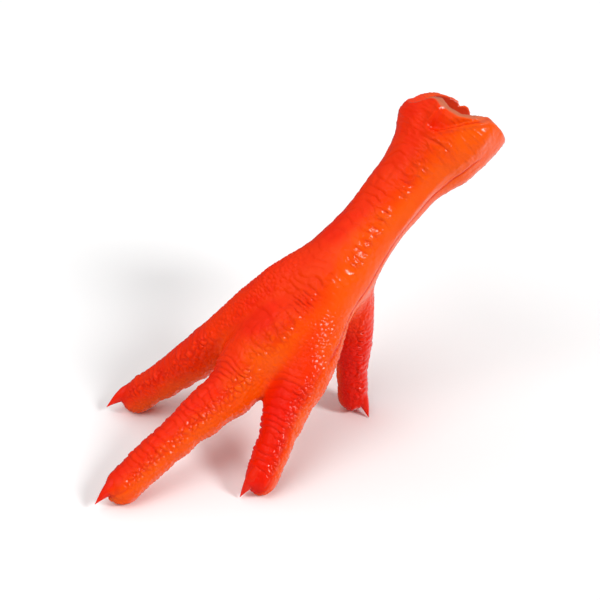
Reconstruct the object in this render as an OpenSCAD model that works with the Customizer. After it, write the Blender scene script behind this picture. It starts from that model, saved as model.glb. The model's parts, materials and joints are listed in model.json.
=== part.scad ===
// Rubber chicken foot: a hollow moulded rubber shank with a flared, open knuckle end,
// a palm, three front toes and a hind toe, each with a flex line in the middle and a
// pointed claw, and a small squeaker seated in the shank.  It stands on its four toe
// pads.  The skins meet at ball-shaped flex lines, so every toe can curl on its own.
// Units: mm.  Z is up, the middle toe points along -Y, the knuckle end is at +Y.

/* [Overall] */
// sub-part to draw on its own
// rubber wall of the palm and shank
wall = 2.8; // [2:0.1:3.4]
// rubber wall of the toes
toe_wall = 3.4; // [2.4:0.1:3.8]

/* [Shank] */
// length from the palm's middle to the rim of the knuckle end
shank_length = 102; // [84:1:122]
// how steeply the shank rises from the floor, degrees
shank_rise = 39.5; // [32:0.5:46]
// thickness of the shank at its narrowest place
shank_thickness = 25.4; // [23:0.2:30]
// width of the flared knuckle end
knuckle_width = 43; // [36:1:52]
// depth of the flared knuckle end, front to back
knuckle_depth = 38; // [34:1:46]
// slant of the open rim, low at the inner front, degrees
rim_slant = 23; // [8:1:28]
// how far that slant is turned towards the outer toe, degrees
rim_turn = 25; // [0:1:40]

/* [Palm] */
// height of the palm's middle above the floor
palm_height = 56; // [50:1:64]
// width of the palm across its middle
palm_width = 35; // [32:1:42]

/* [Toes] */
// thickness of the middle toe at its root
middle_thickness = 19.2; // [18:0.2:24]
// thickness of the inner, outer and hind toes, as a share of the middle toe's
side_share = 0.92; // [0.84:0.02:1]
// reach of the middle toe in front of the palm's middle
middle_reach = 88; // [74:1:106]
// reach of the inner and outer toes, as a share of their usual reach
side_reach = 1; // [0.85:0.05:1.2]
// length of each claw that shows
claw_length = 10; // [6:0.5:12]
// thickness of a claw where it leaves the toe
claw_thickness = 5.4; // [4:0.2:6.4]

/* [Flex lines] */
// clear gap between two skins at a flex line
flex_gap = 0.35; // [0.3:0.05:0.5]
// how far a toe curls down, degrees
curl_down = 18; // [8:1:20]
// how far a toe lifts, degrees
curl_up = 12; // [6:1:14]

/* [Squeaker] */
// outside diameter of the squeaker's cup
squeaker_diameter = 17; // [14:0.5:18]
// length of the squeaker's cup
squeaker_length = 12; // [10:0.5:16]
// thickness of the sounding reed
reed_thickness = 0.3; // [0.2:0.05:0.4]
// clearance around the parts inside the squeaker
squeaker_clearance = 0.1; // [0.05:0.01:0.2]

/* [Hidden] */
$fn = 48;
SIDES = 24; // sides of a skin's ring
STEPS = 2; // rings between two stations
PAD_FLAT = 0.5; // flat worn under each toe pad
BALL = 1.035; // ball of a flex line against the skin that meets it

// ---- the skeleton -------------------------------------------------------
// puts the middle of the box over the origin
SHIFT = [11.6 * side_reach, 0.5 * middle_reach - 0.405 * shank_length, 0];
PALM = [0, 0, palm_height] + SHIFT; // middle of the palm
UP = [0, cos(shank_rise), sin(shank_rise)]; // along the shank
FRONT = [0, -sin(shank_rise), cos(shank_rise)]; // the shank's front side
function shank_at(d) = PALM + UP * d;

r_m = middle_thickness / 2;
r_s = r_m * side_share;
ph = palm_height;
mx = middle_reach;
sr = side_reach;
// a toe: root flex line, middle flex line, end of the toe's core, radii there, the
// way its nail side faces, where its claw leaves the end, and which way it points
MIDDLE = [PALM + [0, -0.41 * mx, -0.42 * ph], PALM + [0, -0.70 * mx, -0.63 * ph],
  [PALM[0] - 0.5, PALM[1] - mx, 0.79 * r_m - PAD_FLAT],
  [r_m, 0.86 * r_m, 0.79 * r_m], [0, -0.4, 1], [0, -4.4, 2.4], [0, -1, -0.5]];
INNER = [PALM + [-30.5 * sr, -33 * sr, -0.43 * ph], PALM + [-40.5 * sr, -43 * sr, -0.66 * ph],
  [PALM[0] - 51 * sr, PALM[1] - 51.6 * sr, 0.84 * r_s - PAD_FLAT],
  [0.98 * r_s, 0.89 * r_s, 0.84 * r_s], [-0.4, -0.5, 0.8], [-2.4, -4, 2.2], [-0.25, -1, -0.75]];
OUTER = [PALM + [17.5 * sr, -21.2 * sr, -0.46 * ph], PALM + [23.5 * sr, -32.5 * sr, -0.665 * ph],
  [PALM[0] + 27.9 * sr, PALM[1] - 41.9 * sr, 0.82 * r_s - PAD_FLAT],
  [1.06 * r_s, 0.89 * r_s, 0.82 * r_s], [0.3, -0.9, 0.6], [0, -4, 2.4], [-0.1, -0.75, -0.8]];
HIND = [PALM + [3, 23.2, -0.35 * ph], PALM + [3.5, 22.5, -0.64 * ph],
  [PALM[0] + 4.5, PALM[1] + 21.9, 0.75 * r_s - PAD_FLAT],
  [0.86 * r_s, 0.80 * r_s, 0.75 * r_s], [0.5, 0.8, 0.2], [3.2, 1.8, 2], [0.75, 0.1, -0.8]];

// shank: where it bends against the palm, and the middle of its rim
BEND_AT = 0.44 * shank_length;
BEND = shank_at(BEND_AT);
r_neck = shank_thickness / 2;
RIM = shank_at(shank_length);

// squeaker: seated in the shank just above its bend
SQ_AT = BEND_AT + 17;
r_sq = squeaker_diameter / 2;

// ---- lofted skins -------------------------------------------------------
function unit(v) = v / norm(v);
function pick(v, i) = v[max(0, min(len(v) - 1, i))];
function blend(a, b, c, d, t) = 0.5 * (2 * b + (c - a) * t
  + (2 * a - 5 * b + 4 * c - d) * t * t + (3 * b - a - 3 * c + d) * t * t * t);
// stations [x, y, z, half width, half height], with rings between them
function rings(s) = [for (i = [0:len(s) - 2]) for (k = [0:STEPS - 1])
    blend(pick(s, i - 1), s[i], s[i + 1], pick(s, i + 2), k / STEPS), s[len(s) - 1]];
function st(p, w, h) = [p[0], p[1], p[2], w, h];
function xyz(v) = [v[0], v[1], v[2]];

// a closed tube through the stations; less takes the same off every radius
module loft(stations, face = [0, 0, 1], less = 0, n = SIDES) {
  s = rings(stations);
  m = len(s);
  pts = [for (i = [0:m - 1])
      let (t = unit(xyz(pick(s, i + 1)) - xyz(pick(s, i - 1))),
        side = unit(cross(t, face)), top = cross(side, t))
      for (k = [0:n - 1]) xyz(s[i])
        + side * (max(1, s[i][3] - less) * cos(360 * k / n))
        + top * (max(1, s[i][4] - less) * sin(360 * k / n))];
  walls = [for (i = [0:m - 2]) for (k = [0:n - 1]) for (h = [0, 1])
      let (a = i * n + k, b = i * n + (k + 1) % n)
        h == 0 ? [a, b, b + n] : [a, b + n, a + n]];
  caps = [[for (k = [n - 1:-1:0]) k], [for (k = [0:n - 1]) (m - 1) * n + k]];
  polyhedron(pts, concat(walls, caps));
}

// everything inside is drawn as one body
module as_one() { resize([0, 0, 0]) children(); }
module ball(p, r) { translate(p) sphere(r, $fn = 24); }
module along(p, dir) {
  d = unit(dir);
  translate(p) rotate([0, acos(d[2]), atan2(d[1], d[0])]) children();
}

// flex line: ball of the moving skin, and the seat cut for it
function ball_r(t, i) = t[3][i] * BALL;
module seat(t, i) { ball(t[i], ball_r(t, i) + flex_gap); }

// a toe's thickness along its length; the flesh bulges between flex lines
function lerp(a, b, k) = a + (b - a) * k;
function toe_st(t, i, k, swell) =
  let (p = lerp(t[i], t[i + 1], k), r = lerp(t[3][i], t[3][i + 1], k) * swell)
    st(p, r, r);

module toe_base(t) {
  as_one() difference() {
    union() {
      loft([toe_st(t, 0, 0, 1), toe_st(t, 0, 0.3, 1.03), toe_st(t, 0, 0.65, 1.03),
          toe_st(t, 0, 1, 0.985)], t[4]);
      ball(t[0], ball_r(t, 0));
    }
    // hollow, open at both flex lines
    loft([toe_st(t, 0, -0.6, 1), toe_st(t, 0, 0, 1), toe_st(t, 0, 0.5, 1.03),
        toe_st(t, 0, 1.3, 1)], t[4], toe_wall);
    seat(t, 1);
    below_floor();
  }
}

// where a claw leaves the toe's end
function claw_root(t) = t[2] + t[5];
function claw_dir(t) = unit(t[6]);

module toe_tip(t) {
  as_one() difference() {
    union() {
      loft([toe_st(t, 1, 0, 1), toe_st(t, 1, 0.5, 1.05), toe_st(t, 1, 0.8, 1.06),
          toe_st(t, 1, 1, 0.97)], t[4]);
      ball(t[1], ball_r(t, 1));
      ball(t[2], t[3][2] * 1.05);
    }
    loft([toe_st(t, 1, -0.6, 1), toe_st(t, 1, 0, 1), toe_st(t, 1, 0.5, 1),
        toe_st(t, 1, 0.85, 0.9)], t[4], toe_wall);
    // bed of the claw
    along(claw_root(t), claw_dir(t)) translate([0, 0, -0.7 * claw_thickness])
      cylinder(h = 0.7 * claw_thickness + claw_length,
        r = claw_thickness / 2, $fn = 24);
    below_floor();
  }
}

// a claw: a pointed horn, its foot set in the toe's end
module claw(t) {
  along(claw_root(t), claw_dir(t)) rotate_extrude()
    polygon([[0, -0.7 * claw_thickness + 0.02],
        [claw_thickness / 2 - 0.02, -0.7 * claw_thickness + 0.02],
        [claw_thickness / 2 - 0.02, 0.3 * claw_thickness],
        [claw_thickness * 0.28, 0.6 * claw_length],
        [claw_thickness * 0.08, 0.93 * claw_length], [0, 0.95 * claw_length]]);
}

module below_floor() { translate([-200, -250, -60]) cube([400, 500, 60]); }

// ---- palm ---------------------------------------------------------------
half_palm = palm_width / 2;
module palm_body(less) {
  // shank root running on into the middle toe
  loft([st(BEND, r_neck * 1.02, r_neck * 1.02),
      st(shank_at(0.24 * shank_length), 0.90 * half_palm, 0.87 * half_palm),
      st(shank_at(0.08 * shank_length), half_palm, 0.94 * half_palm),
      st(PALM + [0, -8, -3], 0.97 * half_palm, 0.88 * half_palm),
      st(lerp(PALM, MIDDLE[0], 0.58), 0.83 * half_palm, 1.35 * r_m),
      st(MIDDLE[0], MIDDLE[3][0] * 0.985, MIDDLE[3][0] * 0.985)],
    [0, 0, 1], less);
  loft([st(shank_at(0.37 * shank_length) - [3, 0, 0], 1.0 * r_m, 1.05 * r_m),
      st(PALM + [-8, 2, 11], 1.15 * r_m, 1.15 * r_m),
      st(lerp(PALM, INNER[0], 0.5) + [-1, 3, 8], 1.06 * r_m, 1.0 * r_m),
      st(lerp(PALM, INNER[0], 0.8) + [0, 1, 4], 0.98 * r_m, 0.95 * r_m),
      st(INNER[0], INNER[3][0] * 0.985, INNER[3][0] * 0.985)], [0, 0, 1], less);
  loft([st(shank_at(0.2 * shank_length) + [4, 0, 0], 1.15 * r_m, 1.15 * r_m),
      st(PALM + [8, -4, -8], 1.3 * r_m, 1.3 * r_m),
      st(lerp(PALM, OUTER[0], 0.7), 1.18 * r_m, 1.15 * r_m),
      st(OUTER[0], OUTER[3][0] * 0.985, OUTER[3][0] * 0.985)], [0, 0, 1], less);
  loft([st(shank_at(0.36 * shank_length), r_m, r_m),
      st([HIND[0][0] - 0.5, HIND[0][1] + 1, PALM[2] + 8], 0.95 * r_m, 0.95 * r_m),
      st([HIND[0][0], HIND[0][1] + 0.5, PALM[2] - 5], 0.86 * r_m, 0.86 * r_m),
      st(HIND[0], HIND[3][0] * 0.985, HIND[3][0] * 0.985)], [0, 1, 0.2], less);
}
// webs of skin between the toe roots
module web(a, b, ra, rb) {
  hull() {
    ball(lerp(PALM, a[0], 0.25), half_palm * 0.4);
    ball(lerp(PALM, a[0], 0.82), ra);
    ball(lerp(PALM, b[0], 0.82), rb);
  }
}

module palm_skin() {
  color([1, 0.2, 0.04]) as_one() difference() {
    union() {
      palm_body(0);
      web(INNER, MIDDLE, 4.2, 5.2);
      web(OUTER, MIDDLE, 4.6, 5.2);
      web(INNER, HIND, 4, 4);
      web(OUTER, HIND, 4, 4);
    }
    palm_body(wall);
    // open ends at the flex lines
    open_root(INNER);
    open_root(MIDDLE);
    open_root(OUTER);
    open_root(HIND);
    along(BEND, UP) translate([0, 0, -6]) cylinder(h = 20, r = r_neck - wall, $fn = 24);
    ball(BEND, r_neck * 1.04 * BALL + flex_gap);
    translate(BEND) cut_side(UP);
  }
}
// clears the seat and the travel of a toe's root
module open_root(t) {
  seat(t, 0);
  d = unit(t[1] - t[0]);
  along(t[0] - d * 9, d) cylinder(h = 12, r = t[3][0] - toe_wall, $fn = 24);
  // the toe swings here
  for (a = [-curl_down - 3, 0, curl_up + 3])
    translate(t[0]) rotate(a, cross(d, t[4])) along([0, 0, 0], d)
      cylinder(h = 30, r1 = ball_r(t, 0) * 1.03 + flex_gap,
        r2 = ball_r(t, 0) * 1.08 + flex_gap, $fn = 24);
}
// everything further along than a point
module cut_side(dir) { along([0, 0, 0], dir) cylinder(h = 60, r = 40, $fn = 24); }

// ---- shank --------------------------------------------------------------
END_W = knuckle_width / 2;
END_H = knuckle_depth / 2;
// station on the shank, k of the way from its bend to the rim
function on_shank(k, w, h, lean = 0) =
  st(shank_at(lerp(BEND_AT, shank_length, k)) + FRONT * lean, w, h);
module shank_skin() {
  color([1, 0.24, 0.06]) as_one() difference() {
    union() {
      loft([on_shank(0, r_neck * 1.035, r_neck * 1.035),
          on_shank(0.18, r_neck, r_neck), on_shank(0.38, r_neck * 1.04, r_neck * 1.03),
          on_shank(0.58, 0.80 * END_W, 0.78 * END_H),
          on_shank(0.76, 0.98 * END_W, 0.97 * END_H, -0.5),
          on_shank(0.92, END_W, END_H, -1),
          on_shank(1.06, 0.95 * END_W, 0.94 * END_H, -1),
          on_shank(1.25, 0.80 * END_W, 0.80 * END_H, -1)], FRONT);
      ball(BEND, r_neck * 1.04 * BALL);
    }
    // round passage through the narrow part, where the squeaker sits
    along(BEND - UP * 20, UP)
      cylinder(h = SQ_AT - BEND_AT + 20 - 0.5, r = r_neck - 1.2 * wall, $fn = 32);
    along(shank_at(SQ_AT - 1), UP)
      cylinder(h = squeaker_length + 2, r = r_sq, $fn = 72);
    // open mouth, wide at the knuckle end
    mouth();
    // the rim is cut at a slant
    translate(RIM) cut_side(slant(rim_slant));
  }
}
function slant(a) = UP * cos(a)
  + (FRONT * cos(rim_turn) - [sin(rim_turn), 0, 0]) * sin(a);
module mouth() {
  loft([st(shank_at(SQ_AT + squeaker_length), r_sq, r_sq),
      on_shank(0.66, 0.64 * END_W, 0.63 * END_H, -0.2),
      on_shank(0.80, 0.80 * END_W, 0.79 * END_H, -0.6),
      on_shank(0.95, 0.83 * END_W, 0.82 * END_H, -1),
      on_shank(1.1, 0.78 * END_W, 0.77 * END_H, -1),
      on_shank(1.4, 0.72 * END_W, 0.7 * END_H, -1)], FRONT);
}

// ---- squeaker -----------------------------------------------------------
sq = squeaker_clearance;
sw = 1.2; // plastic wall of the cup
slot = 0.42 * squeaker_diameter; // length of the reed's air slot
module squeaker() { along(shank_at(SQ_AT), UP) children(); }

module squeaker_body() {
  color([0.93, 0.92, 0.88]) squeaker() difference() {
    cylinder(h = squeaker_length, r = r_sq - 0.02);
    translate([0, 0, sw]) cylinder(h = squeaker_length, r = r_sq - sw);
    // air hole in the floor
    translate([0, 0, -1]) cylinder(h = sw + 2, r = 0.2 * squeaker_diameter);
  }
}
// block with an air slot that the reed lies over
module squeaker_block() {
  color([0.93, 0.92, 0.88]) squeaker() translate([0, 0, sw + 0.02]) difference() {
    cylinder(h = 2.4, r = r_sq - sw - sq);
    translate([-slot / 2, -0.9, -1]) cube([slot, 1.8, 5]);
  }
}
module squeaker_reed() {
  color([0.75, 0.76, 0.78]) squeaker() translate([0, 0, sw + 2.4 + 0.02 + 0.12])
    translate([-slot / 2 - 1.4, -1.4, 0]) cube([slot + 2.8, 2.8, reed_thickness]);
}
// cap that shuts the cup, with the sound hole
module squeaker_cap() {
  color([0.93, 0.92, 0.88]) squeaker() translate([0, 0, squeaker_length - sw - 1]) difference() {
    union() {
      cylinder(h = sw + 0.9, r = r_sq - sw - 0.02);
      translate([0, 0, sw + 0.98 + 0.04]) cylinder(h = 0.8, r = r_sq - 0.04);
      translate([0, 0, sw + 0.5]) cylinder(h = 0.9, r = r_sq - sw - 0.02);
    }
    translate([0, 0, -1]) cylinder(h = sw + 6, r = 0.13 * squeaker_diameter);
  }
}

// ---- toes ---------------------------------------------------------------
skin = [1, 0.2, 0.04];
horn = [0.92, 0.12, 0.05];
module inner_toe_base() { color(skin) toe_base(INNER); }
module inner_toe_tip() { color(skin) toe_tip(INNER); }
module inner_toe_claw() { color(horn) claw(INNER); }
module middle_toe_base() { color(skin) toe_base(MIDDLE); }
module middle_toe_tip() { color(skin) toe_tip(MIDDLE); }
module middle_toe_claw() { color(horn) claw(MIDDLE); }
module outer_toe_base() { color(skin) toe_base(OUTER); }
module outer_toe_tip() { color(skin) toe_tip(OUTER); }
module outer_toe_claw() { color(horn) claw(OUTER); }
module hind_toe_base() { color(skin) toe_base(HIND); }
module hind_toe_tip() { color(skin) toe_tip(HIND); }
module hind_toe_claw() { color(horn) claw(HIND); }

palm_skin();
shank_skin();
inner_toe_base();
inner_toe_tip();
inner_toe_claw();
middle_toe_base();
middle_toe_tip();
middle_toe_claw();
outer_toe_base();
outer_toe_tip();
outer_toe_claw();
hind_toe_base();
hind_toe_tip();
hind_toe_claw();
squeaker_body();
squeaker_block();
squeaker_reed();
squeaker_cap();
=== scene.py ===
"""Looks of a moulded rubber chicken foot: one hollow skin, four claws and a squeaker.

The skin is worked out as one smooth form around the centre lines of the shank and
the toes, then its scales, wrinkles and pads are raised on it, and it is parted into
one piece for each moving body.  Sizes here are in millimetres unless they say metres.
"""

import sys

import json
import logging
import math
from dataclasses import dataclass, field
from enum import Enum

import bpy
import numpy as np
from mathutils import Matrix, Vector

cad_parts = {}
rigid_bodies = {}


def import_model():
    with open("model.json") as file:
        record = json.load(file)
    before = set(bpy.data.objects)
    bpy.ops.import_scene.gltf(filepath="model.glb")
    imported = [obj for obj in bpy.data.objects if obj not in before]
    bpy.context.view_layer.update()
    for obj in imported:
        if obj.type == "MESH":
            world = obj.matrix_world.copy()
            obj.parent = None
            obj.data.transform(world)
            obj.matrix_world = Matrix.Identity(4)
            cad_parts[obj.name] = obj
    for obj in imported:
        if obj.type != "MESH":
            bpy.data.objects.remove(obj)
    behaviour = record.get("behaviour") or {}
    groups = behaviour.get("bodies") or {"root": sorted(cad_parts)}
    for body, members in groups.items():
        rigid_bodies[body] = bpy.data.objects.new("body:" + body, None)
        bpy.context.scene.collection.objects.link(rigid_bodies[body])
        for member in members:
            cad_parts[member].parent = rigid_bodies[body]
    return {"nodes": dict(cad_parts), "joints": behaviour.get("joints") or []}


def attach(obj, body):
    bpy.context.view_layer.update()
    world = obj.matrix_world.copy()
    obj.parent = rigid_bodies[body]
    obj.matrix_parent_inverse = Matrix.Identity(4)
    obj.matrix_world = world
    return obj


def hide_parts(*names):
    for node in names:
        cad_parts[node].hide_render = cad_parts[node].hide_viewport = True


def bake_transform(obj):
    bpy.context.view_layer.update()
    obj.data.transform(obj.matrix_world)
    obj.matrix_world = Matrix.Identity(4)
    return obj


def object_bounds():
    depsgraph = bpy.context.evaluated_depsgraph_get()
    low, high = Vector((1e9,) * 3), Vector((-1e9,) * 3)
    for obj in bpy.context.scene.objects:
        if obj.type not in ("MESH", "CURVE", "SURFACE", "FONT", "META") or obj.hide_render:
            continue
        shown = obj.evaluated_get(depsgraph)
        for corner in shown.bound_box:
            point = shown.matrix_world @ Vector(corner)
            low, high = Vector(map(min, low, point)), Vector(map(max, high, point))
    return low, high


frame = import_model()
CAD_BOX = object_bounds()

LOG = logging.getLogger("chicken_foot")
MM = 0.001
BATCH = 60000  # points worked out at once
FINE_CELL, COARSE_CELL = 0.85, 1.3


class Body(Enum):
    """Moving bodies of the foot, by their names in the record."""

    PALM = "palm"
    SHANK = "shank"
    INNER_ROOT = "inner_root"
    INNER_END = "inner_end"
    MIDDLE_ROOT = "middle_root"
    MIDDLE_END = "middle_end"
    OUTER_ROOT = "outer_root"
    OUTER_END = "outer_end"
    HIND_ROOT = "hind_root"
    HIND_END = "hind_end"


class Digit(Enum):
    """The four toes, in the order that the skin is worked out."""

    MIDDLE = "middle"
    INNER = "inner"
    OUTER = "outer"
    HIND = "hind"


# ---------------------------------------------------------------- small maths
def unit(v: np.ndarray) -> np.ndarray:
    """The vector, or each row of them, at length one."""
    v = np.asarray(v, float)
    return v / np.maximum(np.linalg.norm(v, axis=-1, keepdims=True), 1e-12)


def ease(x: np.ndarray, low: float, high: float) -> np.ndarray:
    """0 before low, 1 after high, and smooth between them; low may be the larger.

    Args:
        x: values to shape.
        low: where the result is 0.
        high: where the result is 1.

    Returns:
        The shaped values, 0 to 1.
    """
    t = np.clip((x - low) / (high - low), 0.0, 1.0)
    return t * t * (3.0 - 2.0 * t)


def bell(x: np.ndarray, middle: float, width: float) -> np.ndarray:
    """A smooth hump of height one.

    Args:
        x: values to shape.
        middle: where the hump stands.
        width: distance from its middle at which it has fallen to about a third.

    Returns:
        The hump, 0 to 1.
    """
    return np.exp(-(((x - middle) / width) ** 2))


def turn_gap(a: np.ndarray, b: float) -> np.ndarray:
    """Signed angle from b to a in degrees, wrapped to -180..180."""
    return (np.asarray(a) - b + 180.0) % 360.0 - 180.0


def lattice(cells: np.ndarray, seed: int) -> np.ndarray:
    """Repeatable random numbers for lattice cells.

    Args:
        cells: whole-numbered cell places, n by 3.
        seed: which set of numbers.

    Returns:
        One number 0..1 for each cell.
    """
    c = cells.astype(np.int64).astype(np.uint32)
    h = c[..., 0] * np.uint32(73856093) ^ c[..., 1] * np.uint32(19349663)
    h = h ^ c[..., 2] * np.uint32(83492791) ^ np.uint32((seed * 2654435761) & 0xFFFFFFFF)
    for shift, odd in ((15, 0x2C1B3C6D), (12, 0x297A2D39), (15, 0x1B873593)):
        h = (h ^ (h >> np.uint32(shift))) * np.uint32(odd)
    return (h ^ (h >> np.uint32(16))).astype(np.float64) / 4294967295.0


def soft_noise(p: np.ndarray, size: float, seed: int) -> np.ndarray:
    """Smooth lumps about size across.

    Args:
        p: points, n by 3.
        size: distance between lumps.
        seed: which set of lumps.

    Returns:
        Values -1..1.
    """
    q = p / size
    base = np.floor(q)
    f = q - base
    f = f * f * (3.0 - 2.0 * f)
    total = np.zeros(len(p))
    for corner in np.ndindex(2, 2, 2):
        w = np.ones(len(p))
        for axis, bit in enumerate(corner):
            w *= f[:, axis] if bit else 1.0 - f[:, axis]
        total += w * lattice(base + np.array(corner), seed)
    return total * 2.0 - 1.0


def pebbles(p: np.ndarray, size: float, seed: int) -> np.ndarray:
    """Rounded scales packed together: 0 in the furrows between them, 1 on their tops.

    Args:
        p: points, n by 3.
        size: distance between scales.
        seed: which packing.

    Returns:
        Height of each point on its scale, 0..1.
    """
    q = p / size
    base = np.floor(q)
    near = np.full(len(p), 9.0)
    second = np.full(len(p), 9.0)
    for step in np.ndindex(3, 3, 3):
        cell = base + np.array(step) - 1.0
        spot = np.stack([lattice(cell, seed + k) for k in range(3)], 1) * 0.8 + 0.1
        d = np.linalg.norm(cell + spot - q, axis=1)
        second = np.minimum(second, np.maximum(near, d))
        near = np.minimum(near, d)
    return ease(second - near, 0.02, 0.42)


# ---------------------------------------------------------------- centre lines
@dataclass
class Limb:
    """A toe or the shank as a thick line: where it runs and how thick it is.

    Attributes:
        name: what it is.
        stations: points of the centre line, n by 3, from root to tip.
        widths: half width at each station.
        heights: half height at each station, towards the nail side.
        top: direction of the nail side.
        spacing: distance between the points kept along it.
    """

    name: str
    stations: np.ndarray
    widths: np.ndarray
    heights: np.ndarray
    top: np.ndarray
    spacing: float = 1.3
    line: np.ndarray = field(init=False)
    length: np.ndarray = field(init=False)

    def __post_init__(self) -> None:
        """Runs a smooth curve through the stations and steps along it evenly."""
        s = np.column_stack([self.stations, self.widths, self.heights]).astype(float)
        padded = np.vstack([2 * s[0] - s[1], s, 2 * s[-1] - s[-2]])
        fine = []
        for i in range(1, len(padded) - 2):
            a, b, c, d = padded[i - 1 : i + 3]
            for t in np.linspace(0, 1, 16, endpoint=False):
                fine.append(
                    0.5
                    * (
                        2 * b
                        + (c - a) * t
                        + (2 * a - 5 * b + 4 * c - d) * t * t
                        + (3 * b - a - 3 * c + d) * t**3
                    )
                )
        fine = np.array(fine + [s[-1]])
        run = np.r_[0, np.cumsum(np.linalg.norm(np.diff(fine[:, :3], axis=0), axis=1))]
        self.length = np.arange(0, run[-1], self.spacing)
        self.line = np.column_stack(
            [np.interp(self.length, run, fine[:, k]) for k in range(5)]
        )
        step = np.gradient(self.line[:, :3], axis=0)
        self.tangent = unit(step)
        self.side = unit(np.cross(self.top, self.tangent))
        self.up = np.cross(self.tangent, self.side)

    def place(self, p: np.ndarray) -> dict[str, np.ndarray]:
        """Where points lie along and around the limb.

        Args:
            p: points, n by 3.

        Returns:
            s along the line, angle round it in degrees (0 at the nail side, 90 on
            its right), rho from the line, past beyond its ends, and its radius r.
        """
        c = self.line[:, :3]
        d2 = (p**2).sum(1)[:, None] - 2 * p @ c.T + (c**2).sum(1)[None]
        i = np.argmin(d2, 1)
        v = p - c[i]
        t = (v * self.tangent[i]).sum(1)
        last = len(c) - 1
        past = np.where(i == last, np.maximum(t, 0), 0.0)
        past = np.where(i == 0, np.maximum(-t, 0), past)
        inside = np.clip(t, -self.spacing, self.spacing)
        s = self.length[i] + np.where(past > 0, 0.0, inside)
        a = (v * self.side[i]).sum(1)
        b = (v * self.up[i]).sum(1)
        rho = np.hypot(a, b)
        w = np.interp(s, self.length, self.line[:, 3])
        h = np.interp(s, self.length, self.line[:, 4])
        r = np.maximum(rho, 1e-6) / np.maximum(np.hypot(a / w, b / h), 1e-6)
        return {
            "s": s,
            "angle": np.degrees(np.arctan2(a, b)),
            "rho": rho,
            "past": past,
            "r": r,
        }

    def station(self, p: np.ndarray) -> float:
        """Length along the limb at the place nearest a point."""
        return float(self.place(np.asarray(p, float)[None])["s"][0])


@dataclass
class Flex:
    """A flex line: where two bodies of the skin bend against each other.

    Attributes:
        joint: its name in the record.
        before: how far before the pivot the bend begins.
        after: how far past the pivot it ends.
        onward: direction from the parent's side to the child's.
    """

    joint: str
    before: float
    after: float
    onward: np.ndarray

    def __post_init__(self) -> None:
        """Looks the joint up in the frame."""
        found = next(j for j in frame["joints"] if j["name"] == self.joint)
        self.pivot = np.array(found["pos_m"]) / MM
        self.parent, self.child = found["parent"], found["child"]
        self.onward = unit(self.onward)

    @property
    def start(self) -> np.ndarray:
        """Where the bend begins; the skin is parted here."""
        return self.pivot - self.onward * self.before

    @property
    def end(self) -> np.ndarray:
        """Where the bend ends."""
        return self.pivot + self.onward * self.after

    def beyond(self, p: np.ndarray) -> np.ndarray:
        """Distance of points past the parting plane."""
        return (p - self.start) @ self.onward


def joint_at(name: str) -> np.ndarray:
    """Pivot of a joint of the frame, in millimetres."""
    return np.array(next(j for j in frame["joints"] if j["name"] == name)["pos_m"]) / MM


# ---------------------------------------------------------------- sizes
@dataclass(frozen=True)
class FootSizes:
    """Driving sizes of the foot, the same as the CAD part's."""

    palm: tuple[float, float, float] = (11.6, 2.69, 56.0)
    rise: float = 39.5
    knuckle_width: float = 43.0
    knuckle_depth: float = 38.0
    squeaker_at: float = 61.88
    squeaker_length: float = 12.0
    squeaker_radius: float = 8.5
    claw_length: float = 10.0
    claw_thickness: float = 5.4

    @property
    def along(self) -> np.ndarray:
        """Direction of the shank, from the palm to the knuckle end."""
        a = math.radians(self.rise)
        return np.array([0.0, math.cos(a), math.sin(a)])

    @property
    def front(self) -> np.ndarray:
        """Direction of the shank's front side."""
        a = math.radians(self.rise)
        return np.array([0.0, -math.sin(a), math.cos(a)])

    def on_shank(self, d: float, ahead: float = 0.0, right: float = 0.0) -> np.ndarray:
        """A point by the shank's line.

        Args:
            d: distance from the palm's middle.
            ahead: distance towards the front.
            right: distance towards the outer toe's side.

        Returns:
            The point.
        """
        p = np.array(self.palm) + self.along * d + self.front * ahead
        return p + np.array([right, 0.0, 0.0])


SIZES = FootSizes()


@dataclass
class ToePlan:
    """Where a toe runs and how it ends.

    Attributes:
        digit: which toe.
        end: middle of its rounded end.
        radii: radius at its root flex line, its middle flex line and its end.
        top: direction of its nail side.
        claw_root: where the claw leaves, from the end's middle.
        claw_way: direction of the claw.
        before_root: stations between the palm and the root flex line, each a point
            from the palm's middle with a half width and a half height.
        aside: how far its centre line runs beside its pivots.
    """

    digit: Digit
    end: np.ndarray
    radii: tuple[float, float, float]
    top: np.ndarray
    claw_root: np.ndarray
    claw_way: np.ndarray
    before_root: list[tuple[tuple[float, float, float], float, float]]
    aside: tuple[float, float, float] = (0.0, 0.0, 0.0)

    def __post_init__(self) -> None:
        """Finds the toe's flex lines in the frame and lays its centre line."""
        name = self.digit.value
        self.root = joint_at(f"{name}_root_curl")
        self.mid = joint_at(f"{name}_tip_curl")
        palm = np.array(SIZES.palm)
        pts = [palm + np.array(p) for p, _, _ in self.before_root]
        w = [x for _, x, _ in self.before_root]
        h = [x for _, _, x in self.before_root]
        r0, r1, r2 = self.radii
        root, mid = self.root + np.array(self.aside), self.mid + np.array(self.aside)
        pts += [root, (root + mid) / 2, mid]
        pts += [(mid * 0.45 + self.end * 0.55), self.end]
        w += [r0, (r0 + r1) / 2 * 1.01, r1, (r1 + r2) / 2 * 1.02, r2]
        h += [r0, (r0 + r1) / 2 * 1.01, r1, (r1 + r2) / 2 * 1.0, r2]
        self.limb = Limb(name, np.array(pts), np.array(w), np.array(h), self.top)
        self.root_flex = Flex(f"{name}_root_curl", -1.5, 10.5, self.mid - self.root)
        self.mid_flex = Flex(f"{name}_tip_curl", 4.0, 5.5, self.end - self.mid)


# where each toe is sprayed: middle of the sprayed side, its half angle, and how red
PAINT = {
    Digit.MIDDLE: (-20.0, 80.0, 0.25),
    Digit.INNER: (20.0, 90.0, 0.0),
    Digit.OUTER: (-20.0, 105.0, 1.0),
    Digit.HIND: (0.0, 170.0, 1.0),
}
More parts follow.
